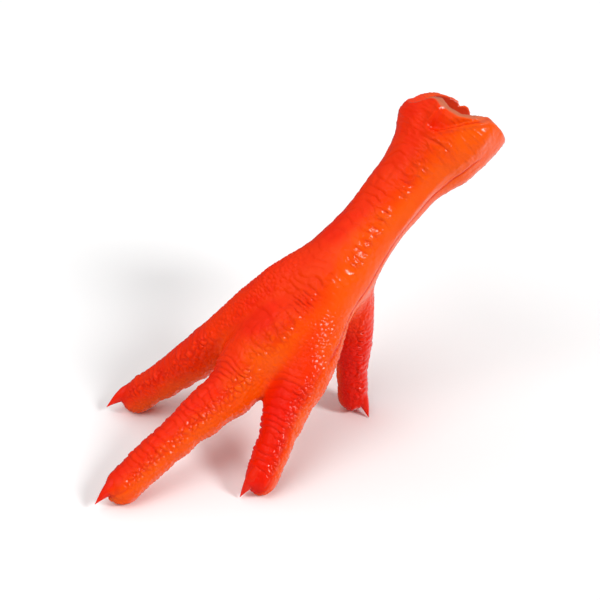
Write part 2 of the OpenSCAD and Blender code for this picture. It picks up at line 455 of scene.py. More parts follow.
# height of the rim along the shank, by angle round it (0 in front, 90 to the right)
RIM_STATIONS = (
    (-180, 107.6), (-168, 108.0), (-160, 108.9), (-154, 109.1), (-149, 107.4), (-144, 109.4),
    (-136, 110.8), (-130, 110.4), (-125, 108.8), (-120, 110.3), (-110, 109.8), (-102, 108.8),
    (-92, 107.0), (-81, 104.6), (-62, 98.5), (-46, 93.2), (-29, 92.6), (-17, 94.4),
    (-9, 97.0), (2, 97.6), (12, 96.6), (26, 97.0), (39, 97.4), (49, 99.3), (64, 102.7),
    (75, 104.6), (90, 105.3), (110, 105.3), (133, 105.2), (155, 106.0), (170, 107.1),
)
# the crease under the near lip: angle round the shank, and distance along it
CREASE = (
    (8, 86.4), (21, 86.8), (30, 87.6), (41, 91.6), (53, 96.8), (62, 100.4), (70, 104), (80, 108),
)


def ring_curve(stations: tuple, blur: float) -> np.ndarray:
    """A smooth curve round a ring through stations.

    Args:
        stations: pairs of an angle and a value.
        blur: how far corners are rounded, in degrees.

    Returns:
        Its value at each whole degree from -180 to 180.
    """
    a = np.array(stations, float)
    x = np.arange(-180.0, 181.0)
    y = np.interp(x, a[:, 0], a[:, 1], period=360.0)
    reach = np.arange(-12.0, 13.0)
    weights = bell(reach, 0, blur)
    ring = np.concatenate([y[-13:-1], y, y[1:13]])
    return np.convolve(ring, weights / weights.sum(), "valid")


def shank_stations() -> list[tuple[np.ndarray, float, float]]:
    """Stations of the shank from beyond its rim to the palm."""
    on = SIZES.on_shank
    w, h = SIZES.knuckle_width / 2, SIZES.knuckle_depth / 2
    return [
        (on(126, -1), 0.80 * w, 0.82 * h),
        (on(118, -1), 0.84 * w, 0.86 * h),
        (on(110, -1), 0.90 * w, 0.94 * h),
        (on(104, -1), 0.975 * w, 1.02 * h),
        (on(96, -1), 0.965 * w, 1.01 * h),
        (on(89, -0.8), 0.93 * w, 0.97 * h),
        (on(83.5, -0.4), 18.6, 17.4),
        (on(78.5, 0), 16.3, 15.7),
        (on(73, 0), 14.9, 14.8),
        (on(67, 0), 13.8, 13.8),
        (on(58, 0), 13.1, 13.2),
        (on(48, 0), 12.7, 12.8),
        (on(38, 0), 13.3, 13.4),
        (on(27, 0), 15.0, 14.3),
        (on(14, 0), 16.1, 14.6),
    ]


def lay_toes() -> list[ToePlan]:
    """The four toes.

    Returns:
        Their plans; the middle toe's line carries the shank too.
    """
    end = {
        Digit.MIDDLE: (11.2, -85.9, 7.0),
        Digit.INNER: (-38.1, -50.8, 6.7),
        Digit.OUTER: (39.0, -38.7, 6.6),
        Digit.HIND: (16.6, 25.2, 6.1),
    }
    return [
        ToePlan(
            Digit.MIDDLE,
            np.array(end[Digit.MIDDLE]),
            (10.2, 7.7, 7.0),
            np.array([0.0, -0.4, 1.0]),
            np.array([0.0, -4.0, 2.0]),
            np.array([0.0, -1.0, -0.42]),
            [
                ((0, 0, 0), 16.0, 13.4),
                ((0, -12, -6), 14.4, 12.6),
                ((-1.8, -24.6, -14.2), 12.8, 11.8),
            ],
        ),
        ToePlan(
            Digit.INNER,
            np.array(end[Digit.INNER]),
            (8.7, 7.5, 6.7),
            np.array([-0.4, -0.5, 0.8]),
            np.array([-2.2, -3.8, 1.8]),
            np.array([-0.3, -1.0, -0.4]),
            [
                ((-2.6, 18, 17.0), 6.6, 7.0),
                ((-9.0, 0, 10.5), 8.9, 8.9),
                ((-16.0, -13.2, -1.4), 9.0, 9.1),
                ((-22.4, -23.6, -13.2), 8.7, 9.0),
            ],
            (0.8, -0.7, -1.1),
        ),
        ToePlan(
            Digit.OUTER,
            np.array(end[Digit.OUTER]),
            (9.1, 7.0, 6.4),
            np.array([0.3, -0.9, 0.6]),
            np.array([0.0, -3.6, 2.0]),
            np.array([-0.1, -0.75, -0.75]),
            [
                ((4, 9.6, 8), 8.5, 8.5),
                ((9.4, -1.8, -6.4), 11.7, 11.7),
                ((15.2, -10.1, -16.2), 10.7, 10.7),
            ],
            (0.7, 0.5, 0.0),
        ),
        ToePlan(
            Digit.HIND,
            np.array(end[Digit.HIND]),
            (7.7, 6.4, 6.1),
            np.array([0.5, 0.8, 0.2]),
            np.array([3.0, 1.4, 1.6]),
            np.array([0.75, 0.1, -0.8]),
            [
                ((1, 15.2, 16), 7.2, 7.2),
                ((2.2, 21.8, 6), 7.9, 7.9),
                ((2.8, 23.6, -6), 8.0, 8.0),
            ],
            (0.0, 0.4, 0.0),
        ),
    ]


# ---------------------------------------------------------------- the skin's form
@dataclass
class SkinForm:
    """The smooth form of the whole skin, as distance from its surface.

    Attributes:
        toes: plans of the four toes.
        web: how widely neighbouring limbs flow together.
        lip: how far the rim's edge is rounded.
    """

    toes: list[ToePlan]
    web: float = 2.6
    lip: float = 1.1

    def __post_init__(self) -> None:
        """Lays the shank's line and the mouth's hollow."""
        st = shank_stations()
        middle = next(t for t in self.toes if t.digit is Digit.MIDDLE)
        # the shank runs on into the middle toe, so both share one centre line
        pts = [p for p, _, _ in st] + list(middle.limb.stations)
        w = [x for _, x, _ in st] + list(middle.limb.widths)
        h = [x for _, _, x in st] + list(middle.limb.heights)
        self.spine = Limb(
            "spine", np.array(pts), np.array(w), np.array(h), np.array([0, -0.5, 1.0])
        )
        middle.limb = self.spine
        self.limbs = [t.limb for t in self.toes]
        w, h = SIZES.knuckle_width / 2, SIZES.knuckle_depth / 2
        r = SIZES.squeaker_radius
        top = SIZES.squeaker_at + SIZES.squeaker_length
        hollow = [
            (top - 0.5, r, r, 0),
            (79.0, 0.52 * w, 0.52 * h, 0),
            (88.0, 0.66 * w, 0.64 * h, -0.5),
            (97.0, 0.78 * w, 0.77 * h, -1),
            (107.0, 0.80 * w, 0.81 * h, -1),
            (127.0, 0.70 * w, 0.72 * h, -1),
        ]
        self.mouth = Limb(
            "mouth",
            np.array([SIZES.on_shank(d, lean) for d, _, _, lean in hollow]),
            np.array([a for _, a, _, _ in hollow]),
            np.array([b for _, _, b, _ in hollow]),
            SIZES.front,
        )
        self.rim = ring_curve(RIM_STATIONS, 2.4)

    def over_rim(self, angle: np.ndarray, rho: np.ndarray, d: np.ndarray) -> np.ndarray:
        """How far points are above the wavy, slanted top of the rim.

        Args:
            angle: their angle round the shank.
            rho: their distance from its line.
            d: their distance along it.

        Returns:
            The height over the rim; the near lip's top slopes up towards the mouth.
        """
        slope = 0.75 * ease(np.abs(turn_gap(angle, 24.0)), 62.0, 38.0)
        top = self.rim[np.round(angle).astype(int) + 180]
        deep, _ = self.pressed(angle, top)
        return d - top - slope * np.clip(20.4 - deep - rho, -1.5, 4.0)

    def pressed(self, angle: np.ndarray, d: np.ndarray) -> tuple[np.ndarray, np.ndarray]:
        """The three-cornered hollow pressed into the wall under the near lip.

        Args:
            angle: angle of the points round the shank.
            d: their distance along it.

        Returns:
            How deep the wall is pressed in, and how far the points are above the
            crease that is the hollow's lower edge.
        """
        crease = np.interp(angle, *np.array(CREASE).T)
        above = d - crease
        span = np.maximum(self.rim[np.round(angle).astype(int) + 180] - crease, 3.0)
        side = ease(angle, 9, 20) * ease(angle, 84, 66)
        deep = np.interp(angle, [12, 24, 46, 75], [2.6, 3.3, 2.8, 1.0])
        fall = 1 - 0.5 * ease(above / span, 0.1, 1.0)
        return deep * side * ease(above, -0.9, 1.9) * fall, above

    def knuckle(self, at: dict[str, np.ndarray], d: np.ndarray) -> np.ndarray:
        """Swelling and hollows of the knuckle end.

        Args:
            at: where the points lie round the spine.
            d: distance of the points along the shank from the palm's middle.

        Returns:
            How far the surface stands out, in millimetres.
        """
        a = at["angle"]
        out = 0.5 * bell(d, 97, 8) * bell(turn_gap(a, 112.0), 0, 34.0)
        out += 2.9 * bell(d, 90, 7) * bell(turn_gap(a, -46.0), 0, 30.0)
        out += 0.5 * bell(d, 55, 14) * bell(turn_gap(a, -46.0), 0, 30.0)
        out += 1.2 * bell(d, 78, 6) * bell(turn_gap(a, 133.0), 0, 30.0)
        # the flat along the back of the side, from the knuckle down the shank
        edge = 80.0 + 0.35 * np.clip(89.0 - d, 0.0, 50.0)
        flat = ease(d, 34, 62) * ease(d, 108, 98)
        out += 0.35 * bell(a, edge, 7.0) * flat - 0.75 * bell(a, edge + 22.0, 15.0) * flat
        out += 0.8 * bell(d, 96, 8) * bell(turn_gap(a, 175.0), 0, 30.0)
        out += 1.5 * bell(d, 96.5, 4.5) * bell(turn_gap(a, 74.0), 0, 14.0)
        deep, above = self.pressed(a, d)
        out -= deep
        crest = ease(a, 12, 26) * ease(a, 84, 64)
        out += 0.7 * bell(above, -1.3, 1.4) * crest
        # the ridge from the lip down to the hollow's point, and the dip beside it
        out += 0.9 * bell(turn_gap(a, 14.5), 0, 4.5) * ease(d, 86, 90) * ease(d, 99, 95)
        out -= 1.0 * bell(turn_gap(a, 4.0), 0, 10.0) * bell(d, 88.0, 4.5)
        return out

    def pads(self, toe: ToePlan, at: dict[str, np.ndarray]) -> np.ndarray:
        """Soft swellings under a toe and at its end.

        Args:
            toe: the toe.
            at: where the points lie round it.

        Returns:
            How far the surface stands out, in millimetres.
        """
        limb = toe.limb
        under = 0.5 - 0.5 * np.cos(np.radians(at["angle"]))
        tip = limb.length[-1]
        root, mid = limb.station(toe.root), limb.station(toe.mid)
        out = 0.9 * bell(at["s"], tip - 1.0, 5.5) * under**1.5
        spots = [root - 7.0, root + 3.0, (root + mid) / 2 + 3.5, mid + 2.5]
        for k, spot in enumerate(spots):
            if spot < tip - 6:
                out += (0.8 if k == 0 else 1.3 - 0.15 * k) * bell(at["s"], spot, 4.2) * under**2
        out -= 0.5 * bell(at["s"], mid - 3.5, 2.5) * under
        return out

    def parts(self, p: np.ndarray) -> tuple[np.ndarray, list[dict[str, np.ndarray]]]:
        """Distance of points from each limb taken alone.

        Args:
            p: points, n by 3.

        Returns:
            The distances, limbs by points, and where the points lie round each limb.
        """
        places, dists = [], []
        d = (p - np.array(SIZES.palm)) @ SIZES.along
        for toe in self.toes:
            at = toe.limb.place(p)
            r = at["r"] + self.pads(toe, at)
            if toe.digit is Digit.MIDDLE:
                r = r + self.knuckle(at, d)
            flat = np.hypot(at["rho"], at["past"])
            dists.append(np.where(at["past"] > 0, flat, at["rho"]) - r)
            places.append(at)
        return np.array(dists), places

    def value(self, p: np.ndarray) -> np.ndarray:
        """Signed distance of points from the skin, about right near it."""
        dists, places = self.parts(p)
        k = self.web
        d = -k * np.log(np.exp(-np.clip(dists, -60, 60) / k).sum(0))
        for toe in self.toes:
            d = smooth_min(d, self.sheath(toe, p), 0.9)
        spine, run = places[0], (p - np.array(SIZES.palm)) @ SIZES.along
        rim = self.over_rim(spine["angle"], spine["rho"], run)
        d = smooth_max(d, np.where(run > 70, rim, -30.0), self.lip)
        at = self.mouth.place(p)
        deep, _ = self.pressed(at["angle"], run)
        hollow = np.where(at["past"] > 0, np.hypot(at["rho"], at["past"]), at["rho"])
        d = smooth_max(d, at["r"] - 1.1 * deep - hollow, self.lip)
        along = (p - SIZES.on_shank(SIZES.squeaker_at)) @ SIZES.along
        off = p - SIZES.on_shank(SIZES.squeaker_at) - along[:, None] * SIZES.along
        seat = np.maximum(
            np.linalg.norm(off, axis=1) - SIZES.squeaker_radius - 0.05,
            np.abs(along - SIZES.squeaker_length / 2) - SIZES.squeaker_length / 2 - 0.6,
        )
        return np.maximum(d, -seat)

    def sheath(self, toe: ToePlan, p: np.ndarray) -> np.ndarray:
        """Distance from the fold of skin that holds a claw.

        Args:
            toe: the toe.
            p: points, n by 3.

        Returns:
            Signed distances.
        """
        way = unit(toe.claw_way)
        a = toe.end + toe.claw_root * 0.15
        b = toe.end + toe.claw_root + way * 1.6
        t = np.clip(((p - a) @ (b - a)) / ((b - a) @ (b - a)), 0, 1)
        near = a + t[:, None] * (b - a)
        return np.linalg.norm(p - near, axis=1) - (4.6 - 1.9 * t)

    def normal(self, p: np.ndarray, step: float = 0.25) -> np.ndarray:
        """Outward direction of the form at points."""
        e = np.array([[1, -1, -1], [-1, -1, 1], [-1, 1, -1], [1, 1, 1]], float)
        return unit(sum(k * self.value(p + k * step)[:, None] for k in e))

    def settle(self, p: np.ndarray, rounds: int = 2) -> np.ndarray:
        """Moves points onto the surface."""
        for _ in range(rounds):
            for i in range(0, len(p), BATCH):
                q = p[i : i + BATCH]
                gap = np.clip(self.value(q), -0.8, 0.8)
                p[i : i + BATCH] = q - self.normal(q) * gap[:, None]
        return p


def smooth_min(a: np.ndarray, b: np.ndarray, k: float) -> np.ndarray:
    """The smaller of two distances, rounded over k where they cross."""
    h = np.clip(0.5 + 0.5 * (b - a) / k, 0, 1)
    return b + (a - b) * h - k * h * (1 - h)


def smooth_max(a: np.ndarray, b: np.ndarray, k: float) -> np.ndarray:
    """The larger of two distances, rounded over k where they cross."""
    return -smooth_min(-a, -b, k)


# ---------------------------------------------------------------- meshing
@dataclass
class Sheet:
    """A surface as points and triangles, with values kept at its points."""

    points: np.ndarray
    tris: np.ndarray
    values: dict[str, np.ndarray] = field(default_factory=dict)

    def normals(self) -> np.ndarray:
        """Outward direction at each point, from the triangles round it."""
        a, b, c = (self.points[self.tris[:, k]] for k in range(3))
        n = np.cross(b - a, c - a)
        out = np.zeros_like(self.points)
        for k in range(3):
            np.add.at(out, self.tris[:, k], n)
        return unit(out)


def band_grid(form: SkinForm, cell: float, coarse: int) -> tuple[np.ndarray, np.ndarray]:
    """Distances on a grid of points, worked out finely only near the surface.

    Args:
        form: the form.
        cell: spacing of the grid.
        coarse: how many cells make one coarse block.

    Returns:
        The grid of distances and the place of its first point.
    """
    low = np.array(CAD_BOX[0]) / MM - 6.0
    high = np.array(CAD_BOX[1]) / MM + 6.0
    blocks = np.ceil((high - low) / (cell * coarse)).astype(int)
    axes = [low[k] + (np.arange(blocks[k]) + 0.5) * cell * coarse for k in range(3)]
    mid = np.stack(np.meshgrid(*axes, indexing="ij"), -1).reshape(-1, 3)
    rough = np.concatenate([form.value(mid[i : i + BATCH]) for i in range(0, len(mid), BATCH)])
    reach = cell * coarse * math.sqrt(3) / 2 + 1.6
    rough = rough.reshape(blocks)
    grid = np.repeat(np.repeat(np.repeat(rough, coarse, 0), coarse, 1), coarse, 2)
    grid = grid.astype(np.float32)
    near = np.argwhere(np.abs(rough) < reach)
    inner = np.stack(np.meshgrid(*[np.arange(coarse)] * 3, indexing="ij"), -1).reshape(-1, 3)
    for i in range(0, len(near), 400):
        cells = (near[i : i + 400, None] * coarse + inner[None]).reshape(-1, 3)
        p = low + (cells + 0.5) * cell
        grid[cells[:, 0], cells[:, 1], cells[:, 2]] = form.value(p)
    return grid, low + 0.5 * cell


def surface_of(grid: np.ndarray, origin: np.ndarray, cell: float) -> tuple:
    """A closed net of four-sided faces where the grid's values change sign.

    Args:
        grid: distances, negative inside.
        origin: place of the grid's first value.
        cell: spacing of the grid.

    Returns:
        The net's points and its faces.
    """
    n = np.array(grid.shape) - 1
    inside = grid < 0
    count = np.zeros(n, np.int8)
    corners = list(np.ndindex(2, 2, 2))
    for c in corners:
        count += inside[c[0] : n[0] + c[0], c[1] : n[1] + c[1], c[2] : n[2] + c[2]]
    cells = np.argwhere((count > 0) & (count < 8))
    index = np.full(n, -1, np.int32)
    index[tuple(cells.T)] = np.arange(len(cells))
    vals = {c: grid[cells[:, 0] + c[0], cells[:, 1] + c[1], cells[:, 2] + c[2]] for c in corners}
    total, hits = np.zeros((len(cells), 3)), np.zeros(len(cells))
    for c in corners:
        for axis in range(3):
            if c[axis]:
                continue
            e = tuple(1 if k == axis else c[k] for k in range(3))
            a, b = vals[c], vals[e]
            cross = (a < 0) != (b < 0)
            t = np.where(cross, a / np.where(cross, a - b, 1), 0)
            spot = np.tile(np.array(c, float), (len(cells), 1))
            spot[:, axis] += t
            total += spot * cross[:, None]
            hits += cross
    points = origin + (cells + total / hits[:, None]) * cell
    quads = []
    for axis in range(3):
        u, v = [(1, 2), (2, 0), (0, 1)][axis]
        sl = [slice(None)] * 3
        sl2 = [slice(None)] * 3
        sl[axis], sl2[axis] = slice(0, -1), slice(1, None)
        a, b = inside[tuple(sl)], inside[tuple(sl2)]
        for flip, hit in ((False, a & ~b), (True, ~a & b)):
            e = np.argwhere(hit)
            e = e[(e[:, u] > 0) & (e[:, v] > 0) & (e[:, u] < n[u]) & (e[:, v] < n[v])]
            du, dv = np.eye(3, dtype=int)[u], np.eye(3, dtype=int)[v]
            ring = [e - du - dv, e - dv, e, e - du]
            q = np.stack([index[tuple(x.T)] for x in ring], 1)
            quads.append(q[:, ::-1] if flip else q)
    return points, np.concatenate(quads)


def split_faces(points: np.ndarray, quads: np.ndarray) -> tuple[np.ndarray, np.ndarray]:
    """Each four-sided face in four.

    Args:
        points: the net's points.
        quads: its faces.

    Returns:
        The finer net's points and faces.
    """
    edges = np.concatenate([quads[:, [k, (k + 1) % 4]] for k in range(4)])
    key, back = np.unique(np.sort(edges, 1), axis=0, return_inverse=True)
    back = back.reshape(-1)
    n, m = len(points), len(quads)
    mids = points[key].mean(1)
    hearts = points[quads].mean(1)
    out = np.vstack([points, mids, hearts])
    mid = [n + back[k * m : (k + 1) * m] for k in range(4)]
    heart = n + len(mids) + np.arange(m)
    faces = [
        np.stack([quads[:, k], mid[k], heart, mid[(k + 3) % 4]], 1) for k in range(4)
    ]
    return out, np.concatenate(faces)


def part_along(sheet: Sheet, height: np.ndarray, local: np.ndarray) -> None:
    """Cuts a sheet's triangles where a height is zero, so that edges run along it.

    Args:
        sheet: the surface, changed in place.
        height: signed height of each point over the cutting plane.
        local: whether the plane acts at each point.
    """
    height = np.where(np.abs(height) < 1e-6, 1e-6, height)
    t = sheet.tris
    hit = local[t].all(1)
    sides = height[t] > 0
    hit &= sides.any(1) & ~sides.all(1)
    cut = t[hit]
    s = height[cut] > 0
    lone = np.where((s.sum(1) == 1)[:, None], s, ~s).argmax(1)
    rows = np.arange(len(cut))
    a, b, c = (cut[rows, (lone + k) % 3] for k in range(3))
    pairs = np.sort(np.concatenate([np.stack([a, b], 1), np.stack([a, c], 1)]), 1)
    key, back = np.unique(pairs, axis=0, return_inverse=True)
    back = back.reshape(-1) + len(sheet.points)
    h0, h1 = height[key[:, 0]], height[key[:, 1]]
    w = (h0 / (h0 - h1))[:, None]
    sheet.points = np.vstack(
        [sheet.points, sheet.points[key[:, 0]] * (1 - w) + sheet.points[key[:, 1]] * w]
    )
    ab, ac = back[: len(cut)], back[len(cut) :]
    fresh = [np.stack(x, 1) for x in ((a, ab, ac), (ab, b, c), (ab, c, ac))]
    sheet.tris = np.concatenate([t[~hit], *fresh])


# ---------------------------------------------------------------- the skin's relief
@dataclass
class Relief:
    """Scales, wrinkles and furrows raised on the skin.

    Attributes:
        form: the smooth form under them.
        pitch: distance between cross scales on a toe.
        scale: height of a cross scale over the furrows round it.
        bead: height of the lumpy beads beside the cross scales.
        fold: height of the sharp folds over the palm and shank.
    """

    form: SkinForm
    pitch: float = 3.1
    scale: float = 0.7
    bead: float = 0.78
    fold: float = 1.0

    def cross_scales(self, q: np.ndarray, angle: np.ndarray, seed: int) -> np.ndarray:
        """Uneven plates across the nail side, some of them split.

        Args:
            q: distance along the limb and offsets to its side and top, n by 3.
            angle: angle round the limb.
            seed: which set.

        Returns:
            Height 0..1.
        """
        s = q[:, 0]
        drift = 1.8 * soft_noise(q, 7.0, seed) + 0.7 * soft_noise(q, 3.0, seed + 1)
        bow = 1.4 * (1 - np.cos(np.radians(angle + 12)))
        u = (s - bow - drift) / self.pitch + 0.22 * np.sin(s / 4.7 + seed)
        n = np.floor(u)
        f = u - n
        row = np.stack([n, n * 0 + seed, n * 0], 1)
        strength = (0.45 + 0.7 * lattice(row, 5)) * (0.8 + 0.45 * soft_noise(q, 4.5, seed + 4))
        plate = (1 - np.abs(2 * f - 1) ** 3.0) * (0.66 + 0.34 * f)
        gap = np.abs(turn_gap(angle, 50.0 * lattice(row, 6) - 30.0)) * 0.14
        split = 1 - 0.7 * bell(gap, 0.0, 0.5) * (lattice(row, 7) > 0.45)
        return strength * plate * split

    def beads(self, q: np.ndarray, along: float, across: float, seed: int) -> np.ndarray:
        """Lumps packed together, longer one way than the other.

        Args:
            q: distance along the limb and offsets to its side and top, n by 3.
            along: size of a lump along the limb.
            across: its size across the limb.
            seed: which packing.

        Returns:
            Height 0..1.
        """
        warp = 0.35 * np.stack([soft_noise(q, 3.0, seed + k) for k in range(3)], 1)
        return pebbles(q / np.array([along, across, across]) + warp, 1.0, seed)

    def folds(self, q: np.ndarray, along: float, across: float, seed: int) -> np.ndarray:
        """Sharp uneven folds, longer across the limb than along it.

        Args:
            q: distance along the limb and offsets to its side and top, n by 3.
            along: distance between folds along the limb.
            across: their length across it.
            seed: which set.

        Returns:
            Height 0..1, thin crests.
        """
        grid = q / np.array([along, across, across])
        n = soft_noise(grid, 1.0, seed) + 0.45 * soft_noise(grid, 0.5, seed + 2)
        return np.clip(1 - 1.7 * np.abs(n), 0, 1) ** 1.6

    def toe_rise(self, toe: ToePlan, k: int, at: dict[str, np.ndarray], q: np.ndarray) -> tuple:
        """Relief of one toe, or of the toe and shank where they share a line.

        Args:
            toe: the toe.
            k: its number.
            at: where the points lie round it.
            q: distance along it and offsets to its side and top.

        Returns:
            Height in millimetres, and how much painted shade each point gets in the furrows,
            0..1.
        """
        a = at["angle"]
        wobble = soft_noise(q, 5.0, 3 + k)
        root, tip = toe.limb.station(toe.root), toe.limb.length[-1]
        on_toe = ease(at["s"], root - 22.0, root - 4.0)
        last = ease(at["s"], tip + 1.0, tip - 5.0)
        plates = self.cross_scales(q, a, 11 * k + 3)
        over = ease(np.abs(turn_gap(a, -8.0)) + 16 * wobble, 74.0, 44.0) * on_toe
        beads = self.beads(q, 2.3, 3.2, 21 + k)
        side = bell(turn_gap(a, 52.0 + 8 * wobble), 0, 24.0)
        side = np.maximum(side, bell(turn_gap(a, -78.0), 0, 22.0)) * on_toe
        fine = self.beads(q, 1.7, 2.2, 61 + k)
        rise = self.scale * plates * over * (0.3 + 0.7 * last)
        rise += self.bead * beads * side * (0.45 + 0.55 * last)
        rise += 0.3 * fine * (1 - np.maximum(over, side))
        rise += 0.10 * soft_noise(q, 1.5, 77 + k) + 0.2 * wobble - 0.28
        # painted shade: the low ground between plates and beads is marked for darkening
        furrow_shade = over * (1 - plates) * 0.7 + side * (1 - beads) * 0.8
        furrow_shade = np.maximum(furrow_shade, 0.4 * (1 - fine) * (1 - over))
        return rise, furrow_shade

    def shank_rise(self, at: dict[str, np.ndarray], q: np.ndarray, along: np.ndarray) -> tuple:
        """Relief of the palm, the shank and the knuckle end.

        Args:
            at: where the points lie round the spine.
            q: distance along it and offsets to its side and top.
            along: distance of the points along the shank from the palm.

        Returns:
            Height in millimetres, and how much painted shade each point gets in the furrows and
            creases, 0..1.
        """
        a = at["angle"]
        here = ease(along, -38.0, -18.0)
        patch = ease(soft_noise(q, 8.0, 40), -0.8, -0.05)
        wander = turn_gap(a, 46.0) + 12 * soft_noise(q, 12.0, 41)
        ridge = bell(wander, 0, 20.0) * ease(along, 92.0, 84.0)
        steps = self.cross_scales(q * np.array([0.95, 1, 1]) + q[:, 1:2] * 0.16, a, 131)
        sharp = (0.75 * steps + 0.5 * self.folds(q, 1.9, 4.0, 31)) * ridge
        sharp *= 0.3 + 0.7 * patch
        broad = self.cross_scales(q * np.array([0.62, 1, 1]), a, 91)
        front = bell(turn_gap(a, -5.0), 0, 55.0) * ease(along, 84.0, 72.0)
        web = bell(along, -16.0, 15.0) * bell(turn_gap(a, 48.0), 0, 40.0)
        grit = self.beads(q, 1.9, 2.6, 45)
        knob = ease(along, 76.0, 86.0)
        fan = self.folds(q, 1.9, 8.0, 52) * knob * (1 - bell(turn_gap(a, 110.0), 0, 20.0))
        rise = self.fold * sharp + 0.5 * broad * front + 0.28 * grit * web + 0.3 * fan
        rise += 0.14 * soft_noise(q, 6.0, 15) + 0.1 * soft_noise(q, 1.6, 16) - 0.2
        # painted shade: the low ground between scales, grit and folds is marked for darkening
        furrow_shade = 0.5 * (1 - broad) * front + 0.6 * (1 - grit) * web
        furrow_shade += 0.7 * (1 - steps) * ridge * patch
        _, above = self.form.pressed(a, along)
        # painted shade: a dark line along the crease under the near lip and a dark spot at the
        # hollow's point
        line = bell(above, 0.3, 0.8) * ease(a, 14, 22) * ease(a, 84, 70)
        line += 0.8 * bell(turn_gap(a, 19.0), 0, 8.0) * bell(along, 89.5, 3.0)
        furrow_shade = np.clip(np.maximum(furrow_shade, line), 0, 1)
        return rise * here, furrow_shade * here

    def height(self, p: np.ndarray) -> dict[str, np.ndarray]:
        """Relief and finish masks at points of the smooth surface.

        Args:
            p: points, n by 3.

        Returns:
            rise in millimetres, and paint, red, painted furrow shade, lip, inside and seam masks.
        """
        form = self.form
        dists, places = form.parts(p)
        weight = np.exp(-(dists - dists.min(0)) / 1.6)
        weight /= weight.sum(0)
        n = len(p)
        rise, paint, red, furrow_shade = (np.zeros(n) for _ in range(4))
        along = (p - np.array(SIZES.palm)) @ SIZES.along
        for k, toe in enumerate(form.toes):
            mine = np.flatnonzero(weight[k] > 0.004)
            at = {key: v[mine] for key, v in places[k].items()}
            turn = np.radians(at["angle"])
            q = np.stack([at["s"], at["rho"] * np.sin(turn), at["rho"] * np.cos(turn)], 1)
            w = weight[k][mine]
            up, dark = self.toe_rise(toe, k, at, q)
            if toe.digit is Digit.MIDDLE:
                more, deeper = self.shank_rise(at, q, along[mine])
                keep = ease(along[mine], -14.0, -34.0)
                up, dark = up * keep + more, np.maximum(dark * keep, deeper)
            rise[mine] += w * up
            furrow_shade[mine] += w * dark
            wobble = soft_noise(q, 9.0, 60 + k)
            tone = PAINT[toe.digit]
            off = np.abs(turn_gap(at["angle"], tone[0])) + 22 * wobble
            cover = ease(off, tone[1] + 14, tone[1] - 56)
            paint[mine] += w * cover
            root = toe.limb.station(toe.root)
            red[mine] += w * tone[2] * ease(at["s"], root - 12, root + 2)
        masks = self.masks(p, places[0], along)
        masks["paint"] = np.clip(paint, 0, 1)
        masks["red"] = np.clip(red, 0, 1)
        quiet = np.maximum(masks["inside"], 0.4 * masks["lip"])
        masks["rise"] = rise * (1 - 0.85 * quiet) - 0.28 * masks["seam"]
        # painted shade of the furrows and creases, kept off the mouth's wall
        masks["furrow_shade"] = np.clip(furrow_shade, 0, 1) * (1 - masks["inside"])
        return masks

    def masks(
        self, p: np.ndarray, at: dict[str, np.ndarray], along: np.ndarray
    ) -> dict[str, np.ndarray]:
        """Where the mouth's wall, its pale lip and the mould seam are.

        Args:
            p: points, n by 3.
            at: where they lie round the spine.
            along: their distance along the shank.

        Returns:
            Masks inside, lip and seam, 0..1.
        """
        form = self.form
        m = form.mouth.place(p)
        deep, _ = form.pressed(m["angle"], along)
        hollow = m["rho"] - (m["r"] - 1.1 * deep)
        inside = ease(hollow, 0.9, 0.3) * ease(along, 72.0, 74.0)
        rim = form.over_rim(at["angle"], at["rho"], along)
        near = 0.2 + 0.8 * ease(np.abs(turn_gap(at["angle"], 18.0)), 60.0, 32.0)
        lip = ease(rim, -0.75, -0.2) * ease(along, 80.0, 84.0) * near
        inside = inside * (1 - ease(rim, -0.9, -0.3))
        line = np.interp(along, [0, 60, 75, 88, 100], [106, 110, 105, 99, 107])
        off = np.abs(turn_gap(at["angle"], 0) - line) * math.pi / 180 * at["r"]
        seam = bell(off, 0.0, 0.55) * ease(along, -14.0, -6.0) * ease(along, 93.0, 88.0)
        return {"inside": inside, "lip": lip, "seam": seam * (1 - inside)}


